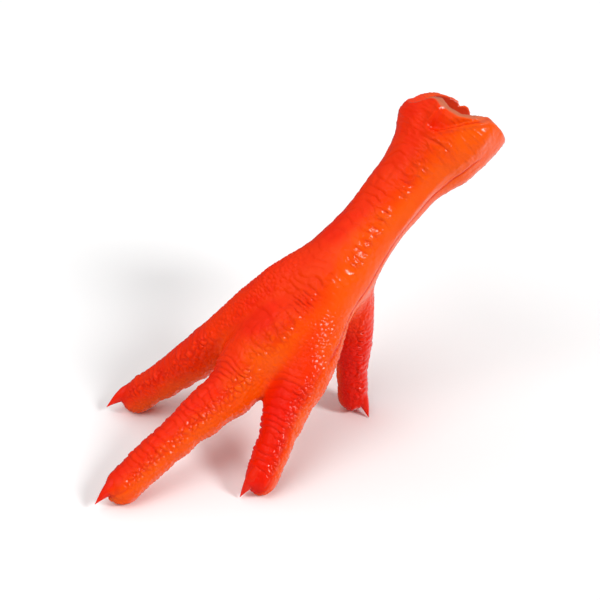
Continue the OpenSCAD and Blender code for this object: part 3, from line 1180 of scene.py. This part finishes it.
# ---------------------------------------------------------------- finishes
@dataclass(frozen=True)
class RubberFinish:
    """Sprayed, glossy moulded rubber.

    Attributes:
        name: what it is called.
        base: colour of the rubber.
        spray: colour sprayed on the nail side.
        deep: redder spray on the outer and hind toes.
        shade: painted shade laid into the furrows, the crease under the lip and the mould seam.
        lip: pale colour of the bare rim.
        wall: colour of the mouth's wall.
        roughness: how dull the gloss is.
    """

    name: str = "orange_rubber"
    base: tuple = (0.95, 0.098, 0.001, 1)
    spray: tuple = (0.90, 0.021, 0.0006, 1)
    deep: tuple = (0.84, 0.007, 0.0006, 1)
    shade: tuple = (0.72, 0.010, 0.0005, 1)
    lip: tuple = (0.60, 0.17, 0.085, 1)
    wall: tuple = (0.60, 0.032, 0.006, 1)
    roughness: float = 0.21

    def make(self) -> bpy.types.Material:
        """Builds the material.

        Returns:
            The material.
        """
        mat = bpy.data.materials.new(self.name)
        mat.use_nodes = True
        t = mat.node_tree
        t.nodes.clear()
        new, link = t.nodes.new, t.links.new
        out = new("ShaderNodeOutputMaterial")
        bsdf = new("ShaderNodeBsdfPrincipled")
        link(bsdf.outputs[0], out.inputs[0])

        def mask(name: str) -> bpy.types.NodeSocket:
            """A value kept at the skin's points."""
            n = new("ShaderNodeAttribute")
            n.attribute_name = name
            return n.outputs["Fac"]

        def mixed(a, b, fac) -> bpy.types.NodeSocket:
            """Colour a turning to b as fac goes from 0 to 1."""
            n = new("ShaderNodeMix")
            n.data_type = "RGBA"
            for key, v in ((6, a), (7, b)):
                if isinstance(v, tuple):
                    n.inputs[key].default_value = v
                else:
                    link(v, n.inputs[key])
            link(fac, n.inputs[0])
            return n.outputs[2]

        def scaled(x, gain: float, lift: float = 0.0) -> bpy.types.NodeSocket:
            """x times gain plus lift, held to 0..1."""
            n = new("ShaderNodeMath")
            n.operation = "MULTIPLY_ADD"
            n.use_clamp = True
            link(x, n.inputs[0])
            n.inputs[1].default_value, n.inputs[2].default_value = gain, lift
            return n.outputs[0]

        rest = new("ShaderNodeAttribute")
        rest.attribute_name = "rest"
        blotch = new("ShaderNodeTexNoise")
        blotch.inputs["Scale"].default_value = 0.055
        blotch.inputs["Detail"].default_value = 3.0
        link(rest.outputs["Vector"], blotch.inputs["Vector"])
        grain = new("ShaderNodeTexNoise")
        grain.inputs["Scale"].default_value = 1.1
        grain.inputs["Detail"].default_value = 4.0
        link(rest.outputs["Vector"], grain.inputs["Vector"])
        paint = new("ShaderNodeMath")
        paint.operation = "ADD"
        paint.use_clamp = True
        link(scaled(mask("paint"), 0.85, 0.0), paint.inputs[0])
        link(scaled(blotch.outputs["Fac"], 1.0, -0.46), paint.inputs[1])
        colour = mixed(self.base, self.spray, paint.outputs[0])
        red = new("ShaderNodeMath")
        red.operation = "MULTIPLY"
        link(mask("red"), red.inputs[0])
        link(paint.outputs[0], red.inputs[1])
        colour = mixed(colour, self.deep, scaled(red.outputs[0], 0.85))
        # painted shade darkens the furrows, the crease under the lip and the hollow's point
        colour = mixed(colour, self.shade, scaled(mask("furrow_shade"), 0.7, -0.15))
        # painted shade along the dented mould seam
        colour = mixed(colour, self.shade, scaled(mask("seam"), 0.75))
        colour = mixed(colour, self.wall, mask("inside"))
        colour = mixed(colour, self.lip, scaled(mask("lip"), 0.9))
        link(colour, bsdf.inputs["Base Color"])
        bump = new("ShaderNodeBump")
        bump.inputs["Strength"].default_value = 0.22
        bump.inputs["Distance"].default_value = 0.0003
        link(grain.outputs["Fac"], bump.inputs["Height"])
        link(bump.outputs["Normal"], bsdf.inputs["Normal"])
        bsdf.inputs["Roughness"].default_value = self.roughness
        bsdf.inputs["Specular IOR Level"].default_value = 0.36
        bsdf.inputs["IOR"].default_value = 1.46
        return mat


@dataclass(frozen=True)
class PlainFinish:
    """A plain material of one colour.

    Attributes:
        name: what it is called.
        colour: its colour.
        roughness: how dull its gloss is.
    """

    name: str
    colour: tuple
    roughness: float

    def make(self) -> bpy.types.Material:
        """Builds the material."""
        mat = bpy.data.materials.new(self.name)
        mat.use_nodes = True
        bsdf = mat.node_tree.nodes["Principled BSDF"]
        bsdf.inputs["Base Color"].default_value = self.colour
        bsdf.inputs["Roughness"].default_value = self.roughness
        return mat


# ---------------------------------------------------------------- building pieces
def mesh_object(name: str, sheet: Sheet, material: bpy.types.Material) -> bpy.types.Object:
    """A sheet as a smooth Blender mesh at the origin, in metres.

    Args:
        name: the piece's name.
        sheet: its surface, in millimetres.
        material: its finish.

    Returns:
        The object.
    """
    mesh = bpy.data.meshes.new(name)
    mesh.vertices.add(len(sheet.points))
    mesh.vertices.foreach_set("co", (sheet.points * MM).astype(np.float32).ravel())
    mesh.loops.add(len(sheet.tris) * 3)
    mesh.loops.foreach_set("vertex_index", sheet.tris.astype(np.int32).ravel())
    mesh.polygons.add(len(sheet.tris))
    mesh.polygons.foreach_set("loop_start", np.arange(0, len(sheet.tris) * 3, 3, dtype=np.int32))
    mesh.update(calc_edges=True)
    mesh.polygons.foreach_set("use_smooth", np.ones(len(sheet.tris), bool))
    for key, value in sheet.values.items():
        if key == "normal":
            continue
        kind = "FLOAT" if value.ndim == 1 else "FLOAT_VECTOR"
        slot = mesh.attributes.new(key, kind, "POINT")
        flat = value.astype(np.float32).ravel()
        slot.data.foreach_set("value" if kind == "FLOAT" else "vector", flat)
    mesh.materials.append(material)
    obj = bpy.data.objects.new(name, mesh)
    bpy.context.collection.objects.link(obj)
    return obj


def closed_piece(sheet: Sheet, keep: np.ndarray, inward: float = 1.5) -> tuple[Sheet, np.ndarray]:
    """The kept triangles as a closed piece, its cut ends shut a little way in.

    Args:
        sheet: the whole surface.
        keep: which triangles belong to the piece.
        inward: how far the shut ends are dished.

    Returns:
        The piece and the direction of each triangle's corners, corners by 3.
    """
    tris = sheet.tris[keep]
    used, back = np.unique(tris, return_inverse=True)
    tris = back.reshape(-1, 3)
    points = sheet.points[used]
    values = {k: v[used] for k, v in sheet.values.items()}
    edges = np.concatenate([tris[:, [0, 1]], tris[:, [1, 2]], tris[:, [2, 0]]])
    n = len(points)
    code = edges[:, 0].astype(np.int64) * n + edges[:, 1]
    open_edges = edges[~np.isin(code, edges[:, 1].astype(np.int64) * n + edges[:, 0])]
    corner = values["normal"][tris].reshape(-1, 3)
    groups = loops_of(open_edges)
    extra_p, extra_t, extra_n = [], [], []
    for ring in groups:
        ids = np.unique(ring)
        heart = points[ids].mean(0)
        body = points.mean(0)
        flat = np.linalg.svd(points[ids] - heart)[2][-1]
        flat = flat if (body - heart) @ flat > 0 else -flat
        extra_p.append(heart + flat * inward)
        at = n + len(extra_p) - 1
        t = np.stack([ring[:, 1], ring[:, 0], np.full(len(ring), at)], 1)
        extra_t.append(t)
        extra_n.append(np.tile(-flat, (len(t) * 3, 1)))
    if extra_p:
        points = np.vstack([points, extra_p])
        tris = np.concatenate([tris, *extra_t])
        corner = np.concatenate([corner, *extra_n])
        for k, v in values.items():
            fill = np.zeros((len(extra_p),) + v.shape[1:])
            values[k] = np.concatenate([v, fill])
    return Sheet(points, tris, values), corner


def loops_of(edges: np.ndarray) -> list[np.ndarray]:
    """Groups the open edges of a piece into their rings.

    Args:
        edges: pairs of points.

    Returns:
        The edges of each ring.
    """
    root = {int(v): int(v) for v in np.unique(edges)}

    def find(v: int) -> int:
        """The ring's first point."""
        while root[v] != v:
            root[v] = root[root[v]]
            v = root[v]
        return v

    for a, b in edges:
        root[find(int(a))] = find(int(b))
    which = np.array([find(int(a)) for a in edges[:, 0]])
    return [edges[which == w] for w in np.unique(which)]


@dataclass
class Skin:
    """The whole rubber skin, from its form to one piece for each moving body.

    Attributes:
        cell: spacing of the first net, in millimetres.
        finer: how many times the net is split before the relief is raised.
    """

    cell: float = 0.85
    finer: int = 1

    def __post_init__(self) -> None:
        """Lays out the toes and the form."""
        self.toes = lay_toes()
        self.form = SkinForm(self.toes)
        self.bend = Flex("shank_bend", 10.0, 12.0, SIZES.along)

    def surface(self) -> Sheet:
        """The whole surface with its relief and its values at each point.

        Returns:
            The surface.
        """
        grid, origin = band_grid(self.form, self.cell, 4)
        points, quads = surface_of(grid, origin, self.cell)
        for _ in range(self.finer):
            points = self.form.settle(points, 1)
            points, quads = split_faces(points, quads)
        points = self.form.settle(points, 2)
        tris = np.concatenate([quads[:, [0, 1, 2]], quads[:, [0, 2, 3]]])
        sheet = Sheet(points, tris)
        self.part(sheet)
        relief = Relief(self.form).height(sheet.points)
        rise = relief.pop("rise")
        sheet.values = relief
        sheet.values["rest"] = sheet.points.copy()
        sheet.points = sheet.points + sheet.normals() * rise[:, None]
        sheet.points[:, 2] = np.maximum(sheet.points[:, 2], 0.0)
        sheet.values["normal"] = sheet.normals()
        return sheet

    def part(self, sheet: Sheet) -> None:
        """Cuts edges into the sheet along every parting plane."""
        part_along(sheet, self.bend.beyond(sheet.points), np.ones(len(sheet.points), bool))
        for k, toe in enumerate(self.toes):
            for flex in (toe.root_flex, toe.mid_flex):
                dists, _ = self.form.parts(sheet.points)
                mine = dists.argmin(0) == k
                mine &= np.linalg.norm(sheet.points - flex.start, axis=1) < 2 * toe.radii[0]
                part_along(sheet, flex.beyond(sheet.points), mine)

    def labels(self, sheet: Sheet) -> np.ndarray:
        """Which body each triangle belongs to, as an index into Body."""
        mid = sheet.values["rest"][sheet.tris].mean(1)
        order = {b.value: i for i, b in enumerate(Body)}
        label = np.full(len(mid), order["palm"])
        label[self.bend.beyond(mid) > 0] = order["shank"]
        dists, _ = self.form.parts(mid)
        mine = dists.argmin(0)
        for k, toe in enumerate(self.toes):
            for flex in (toe.root_flex, toe.mid_flex):
                label[(mine == k) & (flex.beyond(mid) > 0)] = order[flex.child]
        return label

    def build(self, material: bpy.types.Material) -> list[bpy.types.Object]:
        """Makes the pieces; the palm's piece is tied to its body and the others are left in place
        without a parent.

        Args:
            material: the skin's finish.

        Returns:
            The pieces.
        """
        sheet = self.surface()
        LOG.info("skin surface: %d points, %d triangles", len(sheet.points), len(sheet.tris))
        label = self.labels(sheet)
        made = []
        flexes = {self.bend.child: self.bend}
        nodes = {"palm": "palm_skin", "shank": "shank_skin"}
        for toe in self.toes:
            name = toe.digit.value
            flexes[toe.root_flex.child] = toe.root_flex
            flexes[toe.mid_flex.child] = toe.mid_flex
            nodes[toe.root_flex.child] = f"{name}_toe_base"
            nodes[toe.mid_flex.child] = f"{name}_toe_tip"
        for i, body in enumerate(Body):
            piece, corner = closed_piece(sheet, label == i)
            obj = mesh_object(f"{nodes[body.value]}_rubber", piece, material)
            obj.data.normals_split_custom_set(corner.tolist())
            flex = flexes.get(body.value)
            if flex is None:
                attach(obj, body.value)
            else:
                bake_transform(obj)
            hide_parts(nodes[body.value])
            LOG.info("%s: %d triangles", obj.name, len(piece.tris))
            made.append(obj)
        return made


@dataclass
class Claw:
    """A pointed horn at a toe's end, curved a little towards the floor.

    Attributes:
        toe: the toe it grows from.
        rings: rings along it.
        sides: points round it.
        droop: how far its point is bent towards the pad, of its length.
    """

    toe: ToePlan
    rings: int = 22
    sides: int = 28
    droop: float = 0.16

    def build(self, material: bpy.types.Material) -> bpy.types.Object:
        """Makes the claw and ties it to its toe's end.

        Args:
            material: its finish.

        Returns:
            The claw.
        """
        way = unit(self.toe.claw_way)
        top = unit(self.toe.top - way * (self.toe.top @ way))
        side = np.cross(way, top)
        root = self.toe.end + self.toe.claw_root
        long, thick = SIZES.claw_length, 0.53 * SIZES.claw_thickness
        pts = []
        for t in np.linspace(0, 1, self.rings):
            x = -0.45 * long + 1.43 * long * t
            f = max(0.0, x / long)
            mid = root + way * x - top * self.droop * long * f * f
            r = max(thick * (1.04 - 0.12 * f) * (1 - f**1.25), 0.15)
            for a in np.linspace(0, 2 * math.pi, self.sides, endpoint=False):
                pts.append(mid + side * r * math.cos(a) + top * r * 1.05 * math.sin(a))
        tris = []
        for i in range(self.rings - 1):
            for k in range(self.sides):
                a, b = i * self.sides + k, i * self.sides + (k + 1) % self.sides
                tris += [(a, b, b + self.sides), (a, b + self.sides, a + self.sides)]
        n = len(pts)
        last = (self.rings - 1) * self.sides
        pts += [root - way * 0.5 * long, np.array(pts[last:]).mean(0) + way * 0.15]
        for k in range(self.sides):
            j = (k + 1) % self.sides
            tris += [(j, k, n), (last + k, last + j, n + 1)]
        pts, tris = np.array(pts), np.array(tris)
        if np.linalg.det(np.array([way, side, top])) < 0:
            tris = tris[:, ::-1]
        pts[:, 2] = np.maximum(pts[:, 2], 0.2)
        name = self.toe.digit.value
        obj = mesh_object(f"{name}_toe_claw_rubber", Sheet(pts, tris), material)
        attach(obj, f"{name}_end")
        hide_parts(f"{name}_toe_claw")
        return obj


def dress_squeaker() -> None:
    """Gives the squeaker's CAD nodes their finishes."""
    plastic = PlainFinish("white_plastic", (0.86, 0.84, 0.78, 1), 0.42).make()
    film = PlainFinish("reed_film", (0.62, 0.66, 0.72, 1), 0.2).make()
    for name in ("squeaker_body", "squeaker_block", "squeaker_cap", "squeaker_reed"):
        node = frame["nodes"][name]
        node.data.materials.clear()
        node.data.materials.append(film if name.endswith("reed") else plastic)
        LOG.info("%s dressed", name)


# ---------------------------------------------------------------- the studio
@dataclass(frozen=True)
class Lamp:
    """A far, soft lamp: where it stands, how wide it looks and how bright it is.

    A lamp that isn't mirrored lights the foot but shows no gleam on it.
    """

    name: str
    azimuth: float
    elevation: float
    width: float
    power: float
    mirrored: bool = True

    def place(self) -> None:
        """Hangs the lamp, facing the foot."""
        a, e = math.radians(self.azimuth), math.radians(self.elevation)
        away = Vector((math.sin(a) * math.cos(e), -math.cos(a) * math.cos(e), math.sin(e)))
        data = bpy.data.lights.new(self.name, "SUN")
        data.energy, data.angle = self.power, math.radians(self.width)
        lamp = bpy.data.objects.new(self.name, data)
        lamp.location = away
        lamp.visible_glossy = self.mirrored
        lamp.rotation_mode = "QUATERNION"
        lamp.rotation_quaternion = (-away).to_track_quat("-Z", "Y")
        bpy.context.collection.objects.link(lamp)


@dataclass
class Studio:
    """Floor, lamps and camera.

    Attributes:
        azimuth: the camera's direction round the foot, degrees.
        elevation: its height over the horizon, degrees.
        distance: its distance, metres.
        lens: its focal length on a 36 mm sensor.
        target: the point in the middle of the view, metres.
        card: direction of the white card.
    """

    azimuth: float = 54.0
    elevation: float = 32.0
    distance: float = 0.5821
    lens: float = 85.0
    target: tuple[float, float, float] = (0.0039, 0.0058, 0.0558)
    card: tuple[float, float, float] = (0.09, 0.86, -0.5)

    def camera(self) -> None:
        """Sets the camera."""
        a, e = math.radians(self.azimuth), math.radians(self.elevation)
        back = Vector((math.sin(a) * math.cos(e), -math.cos(a) * math.cos(e), math.sin(e)))
        data = bpy.data.cameras.new("camera")
        data.lens, data.sensor_width = self.lens, 36.0
        data.clip_start, data.clip_end = 0.01, 20.0
        cam = bpy.data.objects.new("camera", data)
        cam.location = Vector(self.target) + back * self.distance
        cam.rotation_mode = "QUATERNION"
        cam.rotation_quaternion = (-back).to_track_quat("-Z", "Y")
        bpy.context.collection.objects.link(cam)
        bpy.context.scene.camera = cam

    def floor(self) -> None:
        """Lays a wide pale floor."""
        half = 6.0
        mesh = bpy.data.meshes.new("floor")
        corners = [(-half, -half, 0), (half, -half, 0), (half, half, 0), (-half, half, 0)]
        mesh.from_pydata([(x, y, -0.0002) for x, y, _ in corners], [], [(0, 1, 2, 3)])
        mesh.materials.append(PlainFinish("paper", (0.97, 0.97, 0.97, 1), 0.9).make())
        obj = bpy.data.objects.new("floor", mesh)
        obj.visible_glossy = False
        bpy.context.collection.objects.link(obj)

    def light(self) -> None:
        """Hangs the lamps and sets the surrounding light."""
        for lamp in (
            Lamp("key", 114.0, 37.0, 15.0, 1.75),
            Lamp("fill", 10.0, 50.0, 50.0, 1.3, False),
            Lamp("top", 290.0, 66.0, 80.0, 1.2, False),
        ):
            lamp.place()
        world = bpy.data.worlds.new("studio")
        world.use_nodes = True
        tree = world.node_tree
        sky = tree.nodes["Background"]
        sky.inputs[0].default_value = (1, 1, 1, 1)
        # a white card low on the right gives the sides facing it a pale sheen
        way = tree.nodes.new("ShaderNodeTexCoord")
        dot = tree.nodes.new("ShaderNodeVectorMath")
        dot.operation = "DOT_PRODUCT"
        dot.inputs[1].default_value = self.card
        fade = tree.nodes.new("ShaderNodeMapRange")
        for key, v in (("From Min", 0.55), ("From Max", 0.95), ("To Min", 0.1), ("To Max", 1.0)):
            fade.inputs[key].default_value = v
        tree.links.new(way.outputs["Generated"], dot.inputs[0])
        tree.links.new(dot.outputs["Value"], fade.inputs["Value"])
        tree.links.new(fade.outputs["Result"], sky.inputs[1])
        bpy.context.scene.world = world
        view = bpy.context.scene.view_settings
        view.view_transform = "Standard"


def main() -> None:
    """Builds the foot's looks, then the studio."""
    logging.basicConfig(level=logging.INFO, format="%(name)s: %(message)s", stream=sys.stdout,
                        force=True)
    skin = Skin(cell=FINE_CELL)
    skin.build(RubberFinish().make())
    claw = PlainFinish("claw_rubber", (0.84, 0.016, 0.001, 1), 0.24).make()
    for toe in skin.toes:
        made = Claw(toe).build(claw)
        LOG.info("%s made", made.name)
    dress_squeaker()
    studio = Studio()
    studio.floor()
    studio.light()
    studio.camera()


if __name__ == "__main__":
    main()
